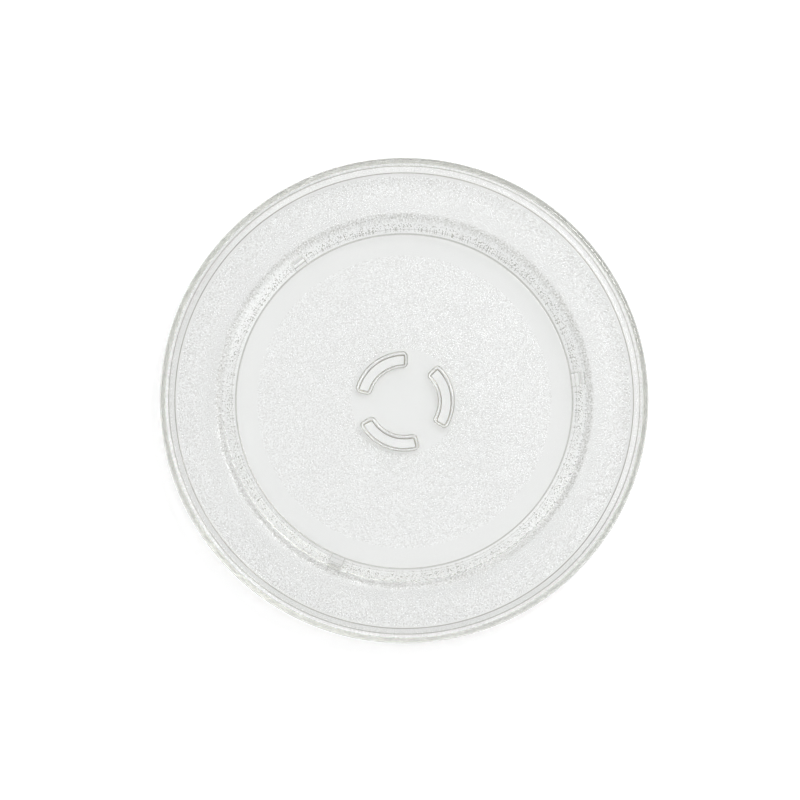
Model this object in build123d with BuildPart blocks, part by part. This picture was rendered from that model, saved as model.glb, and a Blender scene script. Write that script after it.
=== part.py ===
from build123d import *
import math
import os

os.makedirs("parts", exist_ok=True)

# Microwave turntable plate, one piece of clear pressed glass, rim up as in use.
# Millimetres. Z is the axis it turns about. Z = 0 is the plane of the drive lugs' lower faces.

# Overall size
plate_diameter = 304.8

# Zone widths, counted from the outer edge inwards
rim_land_width = 5.6
rim_wall_run = 3.6
flange_width = 30.0
slope_run = 5.4
well_wall_run = 2.2

# Levels, angles and glass thicknesses
base_thickness = 5.0
flange_thickness = 4.5
flange_rise = 0.9
rim_rise = 4.2
rim_crown = 0.3
slope_angle = 26.0
well_wall_angle = 62.0
heel_angle = 40.0
heel_offset = 1.9
rim_heel_inset = 3.5

# Bend radii of the section
well_radius = 1.5
well_crest_radius = 1.5
shoulder_radius = 1.5
rim_root_radius = 1.2
rim_crest_radius = 1.2
rim_lip_radius = 2.4
rim_heel_radius = 3.0
flange_root_radius = 8.0
base_heel_radius = 4.0

# Three drive lugs round the middle
lug_count = 3
lug_height = 5.0
lug_inner_radius = 23.1
lug_width = 6.6
lug_half_span = 38.0
lug_draft = 16.0
lug_corner_radius = 1.2
lug_edge_radius = 0.9
lug_root_radius = 0.9

# Three low stop pads outside the roller track, in line with the lugs
pad_height = 0.3
pad_offset = 0.2
pad_length = 4.3
pad_width = 8.4
pad_draft = 6.0
pad_corner_radius = 0.9
pad_edge_radius = 0.2

# Radii of the section, from the outer edge inwards
plate_radius = plate_diameter / 2
rim_crest_r = plate_radius - rim_land_width
rim_root_r = rim_crest_r - rim_wall_run
shoulder_r = rim_root_r - flange_width
well_crest_r = shoulder_r - slope_run
well_r = well_crest_r - well_wall_run

# Levels of the section, from the lug faces upwards
base_under_z = lug_height
base_top_z = base_under_z + base_thickness
well_crest_z = base_top_z + well_wall_run * math.tan(math.radians(well_wall_angle))
shoulder_z = well_crest_z + slope_run * math.tan(math.radians(slope_angle))
rim_root_z = shoulder_z + flange_rise
rim_crest_z = rim_root_z + rim_rise
rim_top_z = rim_crest_z + rim_crown

# The underside climbs from its heel, outside the foot of the well, to the flange
heel_tan = math.tan(math.radians(heel_angle))
heel_r = well_r + heel_offset
flange_under_z = shoulder_z - flange_thickness
flange_root_r = heel_r + (flange_under_z - base_under_z) / heel_tan

# The outer wall of the rim climbs from its heel to the rounded lip
rim_heel_z = rim_root_z - flange_thickness
rim_heel_r = plate_radius - rim_heel_inset
rim_edge_height = rim_lip_radius * 1.4
rim_wall_top_z = rim_top_z - rim_edge_height

# Pad and lug places
pad_mid_r = heel_r + pad_offset + pad_length / 2
pad_face_z = base_under_z - pad_height
pad_root_z = base_under_z + (pad_offset + pad_length) * heel_tan * 1.2
lug_outer_radius = lug_inner_radius + lug_width
lug_root_z = base_under_z + base_thickness / 4

section_points = [
    (0, base_under_z),
    (heel_r, base_under_z),
    (flange_root_r, flange_under_z),
    (rim_heel_r, rim_heel_z),
    (plate_radius, rim_wall_top_z),
    (plate_radius, rim_top_z),
    (rim_crest_r, rim_crest_z),
    (rim_root_r, rim_root_z),
    (shoulder_r, shoulder_z),
    (well_crest_r, well_crest_z),
    (well_r, base_top_z),
    (0, base_top_z),
]
section_radii = [
    base_heel_radius,
    flange_root_radius,
    rim_heel_radius,
    rim_lip_radius / 2,
    rim_lip_radius,
    rim_crest_radius,
    rim_root_radius,
    shoulder_radius,
    well_crest_radius,
    well_radius,
]

with BuildPart() as turntable_plate:
    # Dish of the plate, the half section turned about the axis
    with BuildSketch(Plane.XZ):
        with BuildLine():
            FilletPolyline(*section_points, radius=section_radii)
            Line((0, base_top_z), (0, base_under_z))
        make_face()
    revolve(axis=Axis.Z)

    # Drive lugs, drafted bars bent round the axis, which widen towards the glass
    with BuildSketch(Plane.XY) as lug_faces:
        for lug in range(lug_count):
            start = lug * 360 / lug_count - lug_half_span
            with BuildLine():
                inner = CenterArc((0, 0), lug_inner_radius, start, 2 * lug_half_span)
                outer = CenterArc((0, 0), lug_outer_radius, start, 2 * lug_half_span)
                Line(inner @ 0, outer @ 0)
                Line(inner @ 1, outer @ 1)
            make_face()
        fillet(lug_faces.vertices(), lug_corner_radius)
    extrude(amount=lug_root_z, taper=-lug_draft)
    under_edges = turntable_plate.edges(Select.LAST)
    lug_root_edges = under_edges.filter_by_position(Axis.Z, base_under_z, base_under_z)
    fillet(lug_root_edges, lug_root_radius)
    fillet(turntable_plate.edges().group_by(Axis.Z)[0], lug_edge_radius)

    # Stop pads, drafted blocks that stand on the slope just outside the base
    with BuildSketch(Plane.XY.offset(pad_face_z)):
        with PolarLocations(pad_mid_r, lug_count):
            RectangleRounded(pad_length, pad_width, pad_corner_radius)
    extrude(amount=pad_root_z - pad_face_z, taper=-pad_draft)
    pad_face_edges = turntable_plate.edges(Select.LAST).filter_by_position(Axis.Z, pad_face_z, pad_face_z)
    fillet(pad_face_edges, pad_edge_radius)

turntable_plate.part.label = "turntable_plate"
export_step(turntable_plate.part, "parts/turntable_plate.step")
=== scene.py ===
import math

import bpy
from mathutils import Matrix, Vector
from mathutils.geometry import delaunay_2d_cdt


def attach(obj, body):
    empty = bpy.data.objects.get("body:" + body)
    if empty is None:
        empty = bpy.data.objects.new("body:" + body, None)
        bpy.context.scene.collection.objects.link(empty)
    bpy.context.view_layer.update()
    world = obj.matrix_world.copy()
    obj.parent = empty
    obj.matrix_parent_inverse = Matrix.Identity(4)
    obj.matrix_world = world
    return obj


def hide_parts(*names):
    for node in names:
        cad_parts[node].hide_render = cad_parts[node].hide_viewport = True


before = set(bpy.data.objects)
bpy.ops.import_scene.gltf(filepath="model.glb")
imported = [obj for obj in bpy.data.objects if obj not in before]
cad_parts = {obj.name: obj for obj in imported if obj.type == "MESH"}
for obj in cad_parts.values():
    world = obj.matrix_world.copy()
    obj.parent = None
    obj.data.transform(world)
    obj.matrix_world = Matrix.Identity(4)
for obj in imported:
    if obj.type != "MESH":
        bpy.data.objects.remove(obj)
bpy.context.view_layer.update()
scene = bpy.context.scene
scene.view_settings.view_transform = "Standard"

# Light paths long enough to pass through both faces of the glass and along its rim
scene.cycles.blur_glossy = 0.0
scene.cycles.max_bounces = 24
scene.cycles.glossy_bounces = 16
scene.cycles.transmission_bounces = 24

MM = 0.001
UP = (0.0, 0.0, 1.0)
DOWN = (0.0, 0.0, -1.0)

# Section of the plate in millimetres and degrees, with the values of the CAD model
PLATE_R = 152.4
RIM_LAND_WIDTH = 5.6
RIM_WALL_RUN = 3.6
FLANGE_WIDTH = 30.0
SLOPE_RUN = 5.4
WELL_WALL_RUN = 2.2
BASE_THICKNESS = 5.0
FLANGE_THICKNESS = 4.5
FLANGE_RISE = 0.9
RIM_RISE = 4.2
RIM_CROWN = 0.3
SLOPE_ANGLE = 26.0
WELL_WALL_ANGLE = 62.0
HEEL_ANGLE = 40.0
HEEL_OFFSET = 1.9
RIM_HEEL_INSET = 3.5
RIM_EDGE_RATIO = 1.4

# Bend radii of the section
WELL_RADIUS = 1.5
WELL_CREST_RADIUS = 1.5
SHOULDER_RADIUS = 1.5
RIM_ROOT_RADIUS = 1.2
RIM_CREST_RADIUS = 1.2
RIM_LIP_RADIUS = 2.4
RIM_HEEL_RADIUS = 3.0
FLANGE_ROOT_RADIUS = 8.0
BASE_HEEL_RADIUS = 4.0

# Drive lugs round the middle
LUGS = 3
LUG_HEIGHT = 5.0
LUG_INNER_R = 23.1
LUG_OUTER_R = 29.7
LUG_HALF_SPAN = 38.0
LUG_DRAFT = 16.0
LUG_CORNER = 1.2
LUG_EDGE = 0.9
LUG_ROOT = 0.9

# Stop pads under the slope, in line with the lugs
PAD_HEIGHT = 0.3
PAD_OFFSET = 0.2
PAD_LENGTH = 4.3
PAD_WIDTH = 8.4
PAD_DRAFT = 6.0
PAD_CORNER = 0.9
PAD_EDGE = 0.2

# Radii and levels of the section's corners
RIM_CREST_R = PLATE_R - RIM_LAND_WIDTH
RIM_ROOT_R = RIM_CREST_R - RIM_WALL_RUN
SHOULDER_R = RIM_ROOT_R - FLANGE_WIDTH
WELL_CREST_R = SHOULDER_R - SLOPE_RUN
WELL_R = WELL_CREST_R - WELL_WALL_RUN
BASE_UNDER_Z = LUG_HEIGHT
BASE_TOP_Z = BASE_UNDER_Z + BASE_THICKNESS
WELL_CREST_Z = BASE_TOP_Z + (WELL_CREST_R - WELL_R) * math.tan(math.radians(WELL_WALL_ANGLE))
SHOULDER_Z = WELL_CREST_Z + (SHOULDER_R - WELL_CREST_R) * math.tan(math.radians(SLOPE_ANGLE))
RIM_ROOT_Z = SHOULDER_Z + FLANGE_RISE
RIM_CREST_Z = RIM_ROOT_Z + RIM_RISE
RIM_TOP_Z = RIM_CREST_Z + RIM_CROWN
RIM_WALL_TOP_Z = RIM_TOP_Z - RIM_LIP_RADIUS * RIM_EDGE_RATIO
LAND_MID_R = (RIM_CREST_R + PLATE_R) / 2
HEEL_TAN = math.tan(math.radians(HEEL_ANGLE))
HEEL_R = WELL_R + HEEL_OFFSET
FLANGE_UNDER_Z = SHOULDER_Z - FLANGE_THICKNESS
FLANGE_ROOT_R = HEEL_R + (FLANGE_UNDER_Z - BASE_UNDER_Z) / HEEL_TAN
RIM_HEEL_Z = RIM_ROOT_Z - FLANGE_THICKNESS
RIM_HEEL_R = PLATE_R - RIM_HEEL_INSET
LUG_SPREAD = LUG_HEIGHT * math.tan(math.radians(LUG_DRAFT))
PAD_TAN = math.tan(math.radians(PAD_DRAFT))
PAD_FACE_Z = BASE_UNDER_Z - PAD_HEIGHT
PAD_MID_R = HEEL_R + PAD_OFFSET + PAD_LENGTH / 2

# Mesh fineness
SEGMENTS = 480
ARC_STEP = 6.0
LEAST_ARC_STEPS = 4
LUG_OUTER_STEPS = 48
LUG_INNER_STEPS = 40
LUG_CORNER_STEPS = 10
PAD_CORNER_STEPS = 6
PAD_SPACING = 0.7
BASE_MID_R = 60.0
POLE_RING_R = 20.0
SAME_POINT = 1e-4
FILL_TOLERANCE = 1e-7

# Windows in the dish that the pads are knitted into, and the space kept free of points round a pad
PAD_WINDOW_R = (105.8, 114.0)
PAD_WINDOW_SEGMENTS = 4
PAD_SPACE_ALONG = 1.06
PAD_SPACE_ACROSS = 1.04
PAD_ROOT_PASSES = 12

# Radii where the mould's stipple starts and ends on the underside, and the width over which it fades
HUB_R = 32.6
FIELD_END_R = 93.0
SLOPE_START_R = 109.2
SLOPE_MID_R = 112.0
SLOPE_GRAIN_END_R = 114.2
BEND_GRAIN_END_R = 119.0
OUTER_GRAIN_R = 130.0
FLANGE_END_R = 142.0
RIM_GRAIN_R = 146.0
STIPPLE_EDGE = 1.0
SLOPE_FULL_R = SLOPE_START_R + STIPPLE_EDGE
FLANGE_FADE_R = FLANGE_END_R - STIPPLE_EDGE

# Stippled rings as inner radius, outer radius and strength, where what is over 1 adds only the coarse
# painted speckle of light and shade
STIPPLED_RINGS = (
    (HUB_R, FIELD_END_R, 1.0),
    (SLOPE_START_R, SLOPE_GRAIN_END_R, 5.0),
    (SLOPE_START_R, BEND_GRAIN_END_R, 2.0),
    (SLOPE_START_R, FLANGE_END_R, 1.0),
    (OUTER_GRAIN_R, FLANGE_END_R, 2.0),
    (RIM_GRAIN_R, PLATE_R, 0.8),
)

# Painted light and shade along the section and on lugs and pads: above 0 is a painted dark line or band of
# shade at a bend, wall or edge, below 0 is painted light that makes the glass look clearer
SLOPE_START_PAINTED_LIGHT = -0.25
SLOPE_PAINTED_LIGHT = -0.3
SLOPE_END_PAINTED_LIGHT = -0.2
FLANGE_ROOT_PAINTED_SHADE = 0.34
FLANGE_MID_PAINTED_SHADE = 0.02
FLANGE_END_PAINTED_SHADE = 0.055
LIP_PAINTED_LIGHT = -1.5
LAND_PAINTED_LIGHT = -0.2
RIM_CREST_PAINTED_SHADE = 0.9
RIM_ROOT_PAINTED_SHADE = 1.0
RISER_PAINTED_SHADE = 0.35
WELL_CREST_PAINTED_SHADE = 0.4
WELL_FOOT_PAINTED_SHADE = 0.75
HUB_PAINTED_LIGHT = -0.028
LUG_FACE_PAINTED_LIGHT = -0.03
LUG_EDGE_PAINTED_SHADE = 1.7
LUG_ROOT_PAINTED_SHADE = 1.0
PAD_PAINTED_SHADE = 0.6


def turned(vector, angle):
    """A point or direction turned about Z, with any third value kept."""
    c, s = math.cos(angle), math.sin(angle)
    return (vector[0] * c - vector[1] * s, vector[0] * s + vector[1] * c, *vector[2:])


def rounded_line(corners):
    """Stations (place, normal, painted light and shade) along a line of (x, y, radius, painted light and
    shade), solid on its left.
    """
    runs = []
    for a, b in zip(corners, corners[1:]):
        length = math.hypot(b[0] - a[0], b[1] - a[1])
        runs.append(((b[0] - a[0]) / length, (b[1] - a[1]) / length))
    first, last = corners[0], corners[-1]
    stations = [((first[0], first[1]), (runs[0][1], -runs[0][0]), 0.0)]
    for (x, y, radius, painted_light_and_shade), t_in, t_out in zip(corners[1:-1], runs, runs[1:]):
        if radius == 0:
            stations.append(((x, y), (t_in[1], -t_in[0]), painted_light_and_shade))
            continue
        cross = t_in[0] * t_out[1] - t_in[1] * t_out[0]
        dot = t_in[0] * t_out[0] + t_in[1] * t_out[1]
        turn = math.atan2(cross, dot)
        run = radius * math.tan(abs(turn) / 2)
        side = math.copysign(radius, turn)
        centre = (x - t_in[0] * run - t_in[1] * side, y - t_in[1] * run + t_in[0] * side)
        steps = max(LEAST_ARC_STEPS, round(math.degrees(abs(turn)) / ARC_STEP))
        for k in range(steps + 1):
            t = turned(t_in, turn * k / steps)
            place = (centre[0] + t[1] * side, centre[1] - t[0] * side)
            stations.append((place, (t[1], -t[0]), painted_light_and_shade * math.sin(math.pi * k / steps)))
    stations.append(((last[0], last[1]), (runs[-1][1], -runs[-1][0]), 0.0))
    return stations


def contour_arc(centre, radius, start, sweep, steps, outward=1):
    """Points and outward normals along an arc, angles in degrees."""
    points = []
    for k in range(steps + 1):
        a = math.radians(start + sweep * k / steps)
        n = (math.cos(a), math.sin(a))
        place = (centre[0] + n[0] * radius, centre[1] + n[1] * radius)
        points.append((place, (n[0] * outward, n[1] * outward)))
    return points


def without_repeats(points):
    """A closed outline with each point once."""
    kept = []
    for p in points:
        if not kept or math.dist(p[0], kept[-1][0]) > SAME_POINT:
            kept.append(p)
    if math.dist(kept[0][0], kept[-1][0]) < SAME_POINT:
        kept.pop()
    return kept


def lug_contour(middle):
    """Outline of a lug's face about its middle angle, counter-clockwise."""
    outer_rho, inner_rho = LUG_OUTER_R - LUG_CORNER, LUG_INNER_R + LUG_CORNER
    outer_angle = LUG_HALF_SPAN - math.degrees(math.asin(LUG_CORNER / outer_rho))
    inner_angle = LUG_HALF_SPAN - math.degrees(math.asin(LUG_CORNER / inner_rho))

    def corner(rho, angle, start, sweep):
        a = math.radians(middle + angle)
        centre = (rho * math.cos(a), rho * math.sin(a))
        return contour_arc(centre, LUG_CORNER, start, sweep, LUG_CORNER_STEPS)

    low, high = middle - LUG_HALF_SPAN, middle + LUG_HALF_SPAN
    outer_turn = 90 + LUG_HALF_SPAN - outer_angle
    inner_turn = 90 - LUG_HALF_SPAN + inner_angle
    points = contour_arc((0, 0), LUG_OUTER_R, middle - outer_angle, 2 * outer_angle, LUG_OUTER_STEPS)
    points += corner(outer_rho, outer_angle, middle + outer_angle, outer_turn)
    points += corner(inner_rho, inner_angle, high + 90, inner_turn)
    points += contour_arc((0, 0), LUG_INNER_R, middle + inner_angle, -2 * inner_angle, LUG_INNER_STEPS, -1)
    points += corner(inner_rho, -inner_angle, middle - inner_angle + 180, inner_turn)
    points += corner(outer_rho, -outer_angle, low - 90, outer_turn)
    return without_repeats(points)


def pad_contour():
    """Outline of a pad's face at angle 0, counter-clockwise, with points along its straight sides."""
    dx, dy = PAD_LENGTH / 2 - PAD_CORNER, PAD_WIDTH / 2 - PAD_CORNER
    points = []
    for sx, sy, start in ((1, 1, 0), (-1, 1, 90), (-1, -1, 180), (1, -1, 270)):
        points += contour_arc((PAD_MID_R + sx * dx, sy * dy), PAD_CORNER, start, 90, PAD_CORNER_STEPS)
    dense = []
    for (a, normal), (b, next_normal) in zip(points, points[1:] + points[:1]):
        steps = max(1, int(math.dist(a, b) / PAD_SPACING))
        for k in range(steps):
            f = k / steps
            dense.append(((a[0] + (b[0] - a[0]) * f, a[1] + (b[1] - a[1]) * f), normal))
    return without_repeats(dense)


def grown(outline, distance):
    """Points of an outline moved out along its normals."""
    return [(x + nx * distance, y + ny * distance) for (x, y), (nx, ny) in outline]


def inside(point, polygon):
    """Whether a point lies within a polygon, by the sides crossed on the way out."""
    x, y = point
    odd = False
    for (x0, y0), (x1, y1) in zip(polygon, polygon[1:] + polygon[:1]):
        if (y0 > y) != (y1 > y) and x < (x1 - x0) * (y - y0) / (y1 - y0) + x0:
            odd = not odd
    return odd


def loop_edges(first, count):
    """Edges round a closed run of points, from the number of its first point."""
    return [(first + k, first + (k + 1) % count) for k in range(count)]


def facing_down(row):
    """A row of (vertex, normal) with its normals turned straight down."""
    return [(vertex, DOWN) for vertex, normal in row]


class Shell:
    """A mesh under construction: vertices in millimetres, faces with a normal at each corner."""

    def __init__(self):
        self.points = []
        self.stipple = []
        self.painted_light_and_shade = []
        self.faces = []
        self.normals = []

    def add(self, point, stipple=0.0, painted_light_and_shade=0.0):
        """A new vertex, given back as its number."""
        self.points.append(point)
        self.stipple.append(stipple)
        self.painted_light_and_shade.append(painted_light_and_shade)
        return len(self.points) - 1

    def face(self, corners):
        """One face over (vertex, normal) corners."""
        self.faces.append([vertex for vertex, normal in corners])
        self.normals.extend(normal for vertex, normal in corners)

    def set_painted_light_and_shade(self, row, painted_light_and_shade):
        """Sets the painted light and shade of each vertex in a row of (vertex, normal)."""
        for vertex, normal in row:
            self.painted_light_and_shade[vertex] = painted_light_and_shade

    def bands(self, rows):
        """Quads between each two neighbours of a stack of closed rows of (vertex, normal)."""
        for lower, upper in zip(rows, rows[1:]):
            for j in range(len(lower)):
                k = (j + 1) % len(lower)
                self.face([lower[j], lower[k], upper[k], upper[j]])

    def fill(self, flat, corners, edges, holes=(), border=None):
        """Triangles that face down over flat points, inside the border and outside the holes."""
        result = delaunay_2d_cdt([Vector(p) for p in flat], edges, [], 0, FILL_TOLERANCE)
        made, triangles, source = result[0], result[2], result[3]
        for triangle in triangles:
            middle = sum((made[k] for k in triangle), Vector((0, 0))) / 3
            if border and not inside(middle, border):
                continue
            if not any(inside(middle, hole) for hole in holes):
                self.face([corners[source[k][0]] for k in reversed(triangle)])


def stipple_level(r, z):
    """How strongly the mould's stipple shows at a place on the underside."""
    level = 0.0
    for low, high, strength in STIPPLED_RINGS:
        fade_out = 1.0 if high == PLATE_R else (high - r) / STIPPLE_EDGE
        level = max(level, strength * min(1.0, (r - low) / STIPPLE_EDGE, fade_out))
    return level if z < RIM_WALL_TOP_Z else 0.0


def slope_under(r):
    """Level of the underside below the slope."""
    return BASE_UNDER_Z + (r - HEEL_R) * HEEL_TAN


def flange_under(r):
    """Level of the underside below the flange."""
    share = (r - FLANGE_ROOT_R) / (RIM_HEEL_R - FLANGE_ROOT_R)
    return FLANGE_UNDER_Z + (RIM_HEEL_Z - FLANGE_UNDER_Z) * share


def land_top(r):
    """Level of the rim's land."""
    return RIM_CREST_Z + (RIM_TOP_Z - RIM_CREST_Z) * (r - RIM_CREST_R) / (PLATE_R - RIM_CREST_R)


# Half section from the middle of the underside, round the lip, to the middle of the top
section = rounded_line([
    (HUB_R, BASE_UNDER_Z, 0, 0),
    (HUB_R + STIPPLE_EDGE, BASE_UNDER_Z, 0, 0),
    (BASE_MID_R, BASE_UNDER_Z, 0, 0),
    (FIELD_END_R - STIPPLE_EDGE, BASE_UNDER_Z, 0, 0),
    (FIELD_END_R, BASE_UNDER_Z, 0, 0),
    (PAD_WINDOW_R[0], BASE_UNDER_Z, 0, 0),
    (HEEL_R, BASE_UNDER_Z, BASE_HEEL_RADIUS, 0),
    (SLOPE_START_R, slope_under(SLOPE_START_R), 0, SLOPE_START_PAINTED_LIGHT),
    (SLOPE_FULL_R, slope_under(SLOPE_FULL_R), 0, SLOPE_PAINTED_LIGHT),
    (SLOPE_MID_R, slope_under(SLOPE_MID_R), 0, SLOPE_PAINTED_LIGHT),
    (PAD_WINDOW_R[1], slope_under(PAD_WINDOW_R[1]), 0, SLOPE_END_PAINTED_LIGHT),
    (FLANGE_ROOT_R, FLANGE_UNDER_Z, FLANGE_ROOT_RADIUS, FLANGE_ROOT_PAINTED_SHADE),
    (OUTER_GRAIN_R, flange_under(OUTER_GRAIN_R), 0, FLANGE_MID_PAINTED_SHADE),
    (FLANGE_FADE_R, flange_under(FLANGE_FADE_R), 0, FLANGE_END_PAINTED_SHADE),
    (FLANGE_END_R, flange_under(FLANGE_END_R), 0, FLANGE_END_PAINTED_SHADE),
    (RIM_HEEL_R, RIM_HEEL_Z, RIM_HEEL_RADIUS, 0),
    (PLATE_R, RIM_WALL_TOP_Z, RIM_LIP_RADIUS / 2, LIP_PAINTED_LIGHT),
    (PLATE_R, RIM_TOP_Z, RIM_LIP_RADIUS, LIP_PAINTED_LIGHT),
    (LAND_MID_R, land_top(LAND_MID_R), 0, LAND_PAINTED_LIGHT),
    (RIM_CREST_R, RIM_CREST_Z, RIM_CREST_RADIUS, RIM_CREST_PAINTED_SHADE),
    (RIM_ROOT_R, RIM_ROOT_Z, RIM_ROOT_RADIUS, RIM_ROOT_PAINTED_SHADE),
    (SHOULDER_R, SHOULDER_Z, SHOULDER_RADIUS, 0),
    (WELL_CREST_R, WELL_CREST_Z, WELL_CREST_RADIUS, WELL_CREST_PAINTED_SHADE),
    (WELL_R, BASE_TOP_Z, WELL_RADIUS, WELL_FOOT_PAINTED_SHADE),
    (BASE_MID_R, BASE_TOP_Z, 0, 0),
    (POLE_RING_R, BASE_TOP_Z, 0, 0),
])


def station_at(r):
    """Number of the section's first station at a radius."""
    return next(k for k, (place, normal, painted_light_and_shade) in enumerate(section) if math.isclose(place[0], r))


# Rings of the dish, with painted shade on the wall of the rim, darker where it is steeper
shell = Shell()
angles = [2 * math.pi * j / SEGMENTS for j in range(SEGMENTS)]
spokes = [(math.cos(a), math.sin(a)) for a in angles]
top_start = next(k for k, (place, normal, painted_light_and_shade) in enumerate(section) if normal[1] > 0)
rings = []
for k, ((r, z), (nr, nz), painted_light_and_shade) in enumerate(section):
    on_top = k >= top_start
    level = 0.0 if on_top else stipple_level(r, z)
    # Painted shade on the steep top surfaces between shoulder and rim crest, more where they are steeper
    if on_top and SHOULDER_R < r < RIM_CREST_R:
        painted_light_and_shade += RISER_PAINTED_SHADE * (1 - nz)
    rings.append([(shell.add((r * c, r * s, z), level, painted_light_and_shade), (nr * c, nr * s, nz)) for c, s in spokes])

# Faces of the dish, with windows left open where the pads stand
window_low, window_high = station_at(PAD_WINDOW_R[0]), station_at(PAD_WINDOW_R[1])
pad_segments = set()
for lug in range(LUGS):
    for j in range(-PAD_WINDOW_SEGMENTS, PAD_WINDOW_SEGMENTS):
        pad_segments.add((SEGMENTS * lug // LUGS + j) % SEGMENTS)
for k, (lower, upper) in enumerate(zip(rings, rings[1:])):
    for j in range(SEGMENTS):
        if window_low <= k < window_high and j in pad_segments:
            continue
        after = (j + 1) % SEGMENTS
        shell.face([lower[j], lower[after], upper[after], upper[j]])
pole = shell.add((0, 0, BASE_TOP_Z))
for j in range(SEGMENTS):
    shell.face([rings[-1][j], rings[-1][(j + 1) % SEGMENTS], (pole, UP)])

# Lugs: rows of points that follow each face outline outwards and upwards, then the flat glass round them
lug_side = rounded_line([
    (-1, 0, 0, 0),
    (0, 0, LUG_EDGE, LUG_EDGE_PAINTED_SHADE),
    (LUG_SPREAD, BASE_UNDER_Z, LUG_ROOT, LUG_ROOT_PAINTED_SHADE),
    (LUG_SPREAD + 1, BASE_UNDER_Z, 0, 0),
])[1:-1]
lug_inset, lug_reach = lug_side[0][0][0], lug_side[-1][0][0]
hub_points = [(c * HUB_R, s * HUB_R) for c, s in spokes]
hub_corners = facing_down(rings[0])
hub_edges = loop_edges(0, SEGMENTS)
hub_holes = []
for lug in range(LUGS):
    outline = lug_contour(lug * 360 / LUGS)
    rows = []
    for (d, z), (nd, nz), painted_light_and_shade in lug_side:
        row = []
        for (x, y), (nx, ny) in outline:
            vertex = shell.add((x + nx * d, y + ny * d, z), 0.0, painted_light_and_shade)
            row.append((vertex, (nx * nd, ny * nd, nz)))
        rows.append(row)
    shell.bands(rows)
    # Painted light on each lug's face; its edge and root carry painted dark lines
    shell.set_painted_light_and_shade(rows[0], LUG_FACE_PAINTED_LIGHT)
    face_edge = grown(outline, lug_inset)
    shell.fill(face_edge, facing_down(rows[0]), loop_edges(0, len(outline)), border=face_edge)
    root = grown(outline, lug_reach)
    hub_edges += loop_edges(len(hub_points), len(root))
    hub_points += root
    hub_corners += facing_down(rows[-1])
    hub_holes.append(root)
# Painted light under the hub, which makes it clearer against the shade the lugs cast there
shell.set_painted_light_and_shade(hub_corners, HUB_PAINTED_LIGHT)
shell.fill(hub_points, hub_corners, hub_edges, hub_holes)


def under_station(r):
    """Level and normal of the plain underside near the pads."""
    near = section[window_low:window_high + 1]
    for (p0, n0, c0), (p1, n1, c1) in zip(near, near[1:]):
        if p0[0] <= r <= p1[0]:
            f = (r - p0[0]) / (p1[0] - p0[0])
            nr, nz = n0[0] + (n1[0] - n0[0]) * f, n0[1] + (n1[1] - n0[1]) * f
            size = math.hypot(nr, nz)
            return p0[1] + (p1[1] - p0[1]) * f, (nr / size, nz / size)
    raise ValueError(f"radius {r} is outside the pads' windows")


def pad_root(x, y, nx, ny):
    """Where a pad's drafted wall meets the underside, and the underside's normal there."""
    z = BASE_UNDER_Z
    for attempt in range(PAD_ROOT_PASSES):
        d = (z - PAD_FACE_Z) * PAD_TAN
        px, py = x + nx * d, y + ny * d
        z, under_normal = under_station(math.hypot(px, py))
    return (px, py, z), under_normal


def pad_painted_shade(nx):
    """Painted shade on a pad's wall, strongest on the side that faces outwards."""
    return PAD_PAINTED_SHADE * (1 + nx) / 2


# Pads: a clear face with a rounded edge, its walls, and the underside knitted to their root
pad_line = rounded_line([
    (-1, PAD_FACE_Z, 0, 0),
    (0, PAD_FACE_Z, PAD_EDGE, 0),
    (PAD_TAN, PAD_FACE_Z + 1, 0, 0),
])
pad_side = [(place, normal) for place, normal, painted_light_and_shade in pad_line[1:-1]]
pad_inset = pad_side[0][0][0]
wall_out, wall_down = pad_side[-1][1]
outline = pad_contour()
for lug in range(LUGS):
    middle = SEGMENTS * lug // LUGS
    turn = 2 * math.pi * lug / LUGS
    rows = []
    for k, ((d, z), (nd, nz)) in enumerate(pad_side):
        row = []
        for (x, y), (nx, ny) in outline:
            # Painted shade on the pad's walls, none on its face
            painted_light_and_shade = pad_painted_shade(nx) if k else 0.0
            vertex = shell.add(turned((x + nx * d, y + ny * d, z), turn), 0.0, painted_light_and_shade)
            row.append((vertex, turned((nx * nd, ny * nd, nz), turn)))
        rows.append(row)
    root_points, root_wall, root_under = [], [], []
    for (x, y), (nx, ny) in outline:
        (px, py, pz), (ur, uz) = pad_root(x, y, nx, ny)
        vertex = shell.add(turned((px, py, pz), turn), 0.0, pad_painted_shade(nx))
        a = math.atan2(py, px)
        root_points.append((math.hypot(px, py), a * PAD_MID_R))
        root_wall.append((vertex, turned((nx * wall_out, ny * wall_out, wall_down), turn)))
        root_under.append((vertex, turned((ur * math.cos(a), ur * math.sin(a), uz), turn)))
    rows.append(root_wall)
    shell.bands(rows)
    shell.fill(grown(outline, pad_inset), facing_down(rows[0]), loop_edges(0, len(outline)))
    space = []
    for r, w in root_points:
        space.append((PAD_SPACE_ALONG * (r - PAD_MID_R) + PAD_MID_R, PAD_SPACE_ACROSS * w))
    window_points, window_corners = list(root_points), list(root_under)
    for k in range(window_low, window_high + 1):
        for j in range(-PAD_WINDOW_SEGMENTS, PAD_WINDOW_SEGMENTS + 1):
            place = (section[k][0][0], 2 * math.pi * j / SEGMENTS * PAD_MID_R)
            if not inside(place, space):
                window_points.append(place)
                window_corners.append(rings[k][(middle + j) % SEGMENTS])
    shell.fill(window_points, window_corners, loop_edges(0, len(root_points)), [root_points])

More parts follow.
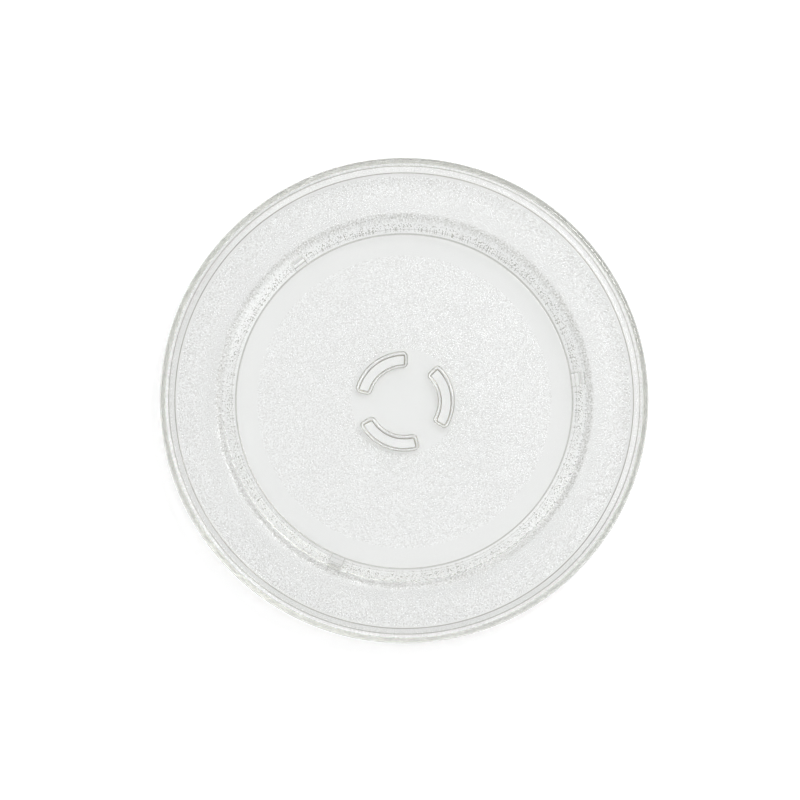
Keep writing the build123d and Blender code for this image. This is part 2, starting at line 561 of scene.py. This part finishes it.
# The plate as one mesh, with its stipple and its painted light and shade as values on its points
mesh = bpy.data.meshes.new("plate_glass")
mesh.from_pydata([(x * MM, y * MM, z * MM) for x, y, z in shell.points], [], shell.faces)
mesh.polygons.foreach_set("use_smooth", [True] * len(mesh.polygons))
for name, values in (("stipple", shell.stipple), ("painted_light_and_shade", shell.painted_light_and_shade)):
    mesh.attributes.new(name, "FLOAT", "POINT").data.foreach_set("value", values)
mesh.normals_split_custom_set(shell.normals)
plate = bpy.data.objects.new("plate_glass", mesh)
scene.collection.objects.link(plate)
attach(plate, "root")
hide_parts("turntable_plate")


class Nodes:
    """A cleared node tree, with short calls to add nodes and join them."""

    def __init__(self, owner):
        owner.use_nodes = True
        self.tree = owner.node_tree
        self.tree.nodes.clear()

    def add(self, kind, values=None, **settings):
        """A new node with values for its sockets and settings for itself."""
        node = self.tree.nodes.new("ShaderNode" + kind)
        for name, value in settings.items():
            setattr(node, name, value)
        for socket, value in (values or {}).items():
            node.inputs[socket].default_value = value
        return node

    def join(self, source, target, output=0, socket=0):
        """A link from a node's output to another node's socket."""
        self.tree.links.new(source.outputs[output], target.inputs[socket])


# Pressed glass: clear, with a pebbled mould grain underneath, a warm grey painted shade at tight bends,
# steep walls and the pebbles' dips, and painted light where the glass is made to look clearer
GLASS_COLOUR = (0.978, 0.988, 0.994, 1)
SHADE_COLOUR = (0.135, 0.12, 0.085, 1)
ABSORBED_COLOUR = (0.95, 0.96, 0.767, 1)
ABSORPTION = 3.0
GLASS_IOR = 1.5
STIPPLE_ROUGHNESS = 0.16
FINE_PEBBLES_PER_METRE = 1450.0
COARSE_PEBBLES_PER_METRE = 1250.0
PEBBLE_DEPTH = 0.1 * MM
PEBBLE_TOP = 0.72
PEBBLE_DIP = 0.28
PEBBLE_SHADE = 0.22
EVEN_SHADE = 0.19
PAINTED_LIGHT_AND_SHADE_SCALE = 0.75
glass = bpy.data.materials.new("pressed_glass")
nodes = Nodes(glass)
out = nodes.add("OutputMaterial")
bsdf = nodes.add("BsdfPrincipled", {"IOR": GLASS_IOR, "Transmission Weight": 1.0})
absorb = nodes.add("VolumeAbsorption", {"Color": ABSORBED_COLOUR, "Density": ABSORPTION})
nodes.join(bsdf, out, 0, "Surface")
nodes.join(absorb, out, 0, "Volume")
stipple = nodes.add("Attribute", attribute_name="stipple")
painted_light_and_shade_node = nodes.add("Attribute", attribute_name="painted_light_and_shade")
coord = nodes.add("TexCoord")


def pebbles(per_metre):
    """Noise that stands for the pebbles of the mould's grain."""
    noise = nodes.add("TexNoise", {"Scale": per_metre, "Detail": 0.0})
    nodes.join(coord, noise, "Object", "Vector")
    return noise


def painted_pebble_light_and_shade(noise):
    """Painted shade where the pebble noise is low and painted light where it is high, which for the fine
    grain are the dips and tops of its relief.
    """
    pebble_paint = nodes.add("MapRange", {
        "From Min": PEBBLE_TOP,
        "From Max": PEBBLE_DIP,
        "To Min": -PEBBLE_SHADE,
        "To Max": PEBBLE_SHADE,
    })
    nodes.join(noise, pebble_paint, "Fac", "Value")
    return pebble_paint


# Fine grain, up to a stipple of 1, gives roughness and relief, and paints shade in the relief's dips and
# light on its tops
fine_pebbles = pebbles(FINE_PEBBLES_PER_METRE)
fine_pebble_paint = painted_pebble_light_and_shade(fine_pebbles)
fine_share = nodes.add("Math", {1: 1.0}, operation="MINIMUM")
nodes.join(stipple, fine_share, "Fac")
rough = nodes.add("Math", {1: STIPPLE_ROUGHNESS}, operation="MULTIPLY")
nodes.join(fine_share, rough)
nodes.join(rough, bsdf, 0, "Roughness")
relief = nodes.add("Math", operation="MULTIPLY")
nodes.join(fine_pebbles, relief, "Fac", 0)
nodes.join(fine_share, relief, 0, 1)
bump = nodes.add("Bump", {"Strength": 1.0, "Distance": PEBBLE_DEPTH})
nodes.join(relief, bump, 0, "Height")
nodes.join(bump, bsdf, 0, "Normal")
fine_shade = nodes.add("Math", {2: EVEN_SHADE}, operation="MULTIPLY_ADD")
nodes.join(fine_pebble_paint, fine_shade, 0, 0)
nodes.join(fine_share, fine_shade, 0, 1)

# Coarse grain, from what the stipple has over 1, adds only a painted speckle of light and shade
coarse_pebble_paint = painted_pebble_light_and_shade(pebbles(COARSE_PEBBLES_PER_METRE))
coarse_share = nodes.add("Math", operation="SUBTRACT")
nodes.join(stipple, coarse_share, "Fac", 0)
nodes.join(fine_share, coarse_share, 0, 1)
coarse_shade = nodes.add("Math", operation="MULTIPLY_ADD")
nodes.join(coarse_pebble_paint, coarse_shade, 0, 0)
nodes.join(coarse_share, coarse_shade, 0, 1)
nodes.join(fine_shade, coarse_shade, 0, 2)

# The painted light and shade of bends, walls, lugs and pads comes on top, and all of it mixes the clear
# colour with the shade colour
shade = nodes.add("Math", {1: PAINTED_LIGHT_AND_SHADE_SCALE}, operation="MULTIPLY_ADD", use_clamp=True)
nodes.join(painted_light_and_shade_node, shade, "Fac", 0)
nodes.join(coarse_shade, shade, 0, 2)
colour = nodes.add("MixRGB", {"Color1": GLASS_COLOUR, "Color2": SHADE_COLOUR})
nodes.join(shade, colour, 0, "Fac")
nodes.join(colour, bsdf, 0, "Base Color")
mesh.materials.append(glass)

# Floor: pale paper, white to the camera and through the glass, and still shaded by the plate
FLOOR_HALF = 3.0
FLOOR_DROP = 0.1 * MM
PAPER_COLOUR = (0.9, 0.9, 0.9, 1)
PAPER_LIFT = 0.22
floor_mesh = bpy.data.meshes.new("floor")
floor_mesh.from_pydata(
    [(x * FLOOR_HALF, y * FLOOR_HALF, -FLOOR_DROP) for x, y in ((-1, -1), (1, -1), (1, 1), (-1, 1))],
    [],
    [(0, 1, 2, 3)],
)
floor = bpy.data.objects.new("floor", floor_mesh)
scene.collection.objects.link(floor)
paper = bpy.data.materials.new("paper")
nodes = Nodes(paper)
out = nodes.add("OutputMaterial")
diffuse = nodes.add("BsdfDiffuse", {"Color": PAPER_COLOUR})
path = nodes.add("LightPath")
direct = nodes.add("Math", operation="MAXIMUM")
nodes.join(path, direct, "Is Camera Ray", 0)
nodes.join(path, direct, "Is Glossy Ray", 1)
seen = nodes.add("Math", operation="MAXIMUM")
nodes.join(direct, seen, 0, 0)
nodes.join(path, seen, "Is Transmission Ray", 1)
lift_level = nodes.add("Math", {1: PAPER_LIFT}, operation="MULTIPLY")
nodes.join(seen, lift_level)
lift = nodes.add("Emission")
nodes.join(lift_level, lift, 0, "Strength")
both = nodes.add("AddShader")
nodes.join(diffuse, both, 0, 0)
nodes.join(lift, both, 0, 1)
nodes.join(both, out, 0, "Surface")
floor_mesh.materials.append(paper)

# Camera: its turn round the plate, its tilt off the vertical, and in metres its reach, view and target
ROLL = math.radians(-7.2)
TILT = math.radians(6.5)
DISTANCE = 2.6
VIEW_WIDTH = 0.4994
TARGET = Vector((-0.00263, -0.00046, 0.018))
SENSOR_WIDTH = 36
camera_data = bpy.data.cameras.new("camera")
camera_data.sensor_width = SENSOR_WIDTH
camera_data.lens = SENSOR_WIDTH * DISTANCE / VIEW_WIDTH
camera = bpy.data.objects.new("camera", camera_data)
scene.collection.objects.link(camera)
scene.camera = camera
about = Matrix.Rotation(ROLL, 4, "Z")
stand = about @ (TARGET + DISTANCE * Vector((0, -math.sin(TILT), math.cos(TILT))))
camera.matrix_world = Matrix.Translation(stand) @ about @ Matrix.Rotation(TILT, 4, "X")

# The lamp and the lighter side of the sky are at the camera's upper right
KEY_AZIMUTH = math.radians(45.0) + ROLL


def towards(azimuth, elevation):
    """Direction from the plate at an azimuth and an elevation."""
    return Vector((
        math.cos(elevation) * math.cos(azimuth),
        math.cos(elevation) * math.sin(azimuth),
        math.sin(elevation),
    ))


# World: a pale grey studio sky, lighter towards the lamp
SKY_LEAN = math.radians(40.0)
SKY_STRENGTH = 1.12
SKY_DARK_END = -0.8
SKY_DARK = 0.4
SKY_LIGHT = 0.95
world = bpy.data.worlds.new("studio")
scene.world = world
nodes = Nodes(world)
out = nodes.add("OutputWorld")
back = nodes.add("Background", {"Strength": SKY_STRENGTH})
coord = nodes.add("TexCoord")
lean = nodes.add("VectorMath", {1: towards(KEY_AZIMUTH, SKY_LEAN)}, operation="DOT_PRODUCT")
ramp = nodes.add("MapRange", {"From Min": SKY_DARK_END, "To Min": SKY_DARK, "To Max": SKY_LIGHT})
nodes.join(coord, lean, "Generated", 0)
nodes.join(lean, ramp, "Value", "Value")
nodes.join(ramp, back, 0, "Color")
nodes.join(back, out)

# Key: a round soft lamp
KEY_ELEVATION = math.radians(65.0)
KEY_REACH = 1.6
KEY_SIZE = 0.45
KEY_WATTS = 5.0
key_data = bpy.data.lights.new("key", "AREA")
key_data.shape = "DISK"
key_data.size = KEY_SIZE
key_data.energy = KEY_WATTS
key = bpy.data.objects.new("key", key_data)
scene.collection.objects.link(key)
key.location = KEY_REACH * towards(KEY_AZIMUTH, KEY_ELEVATION)
key.rotation_euler = (-key.location).to_track_quat("-Z", "Y").to_euler()

bpy.context.view_layer.update()
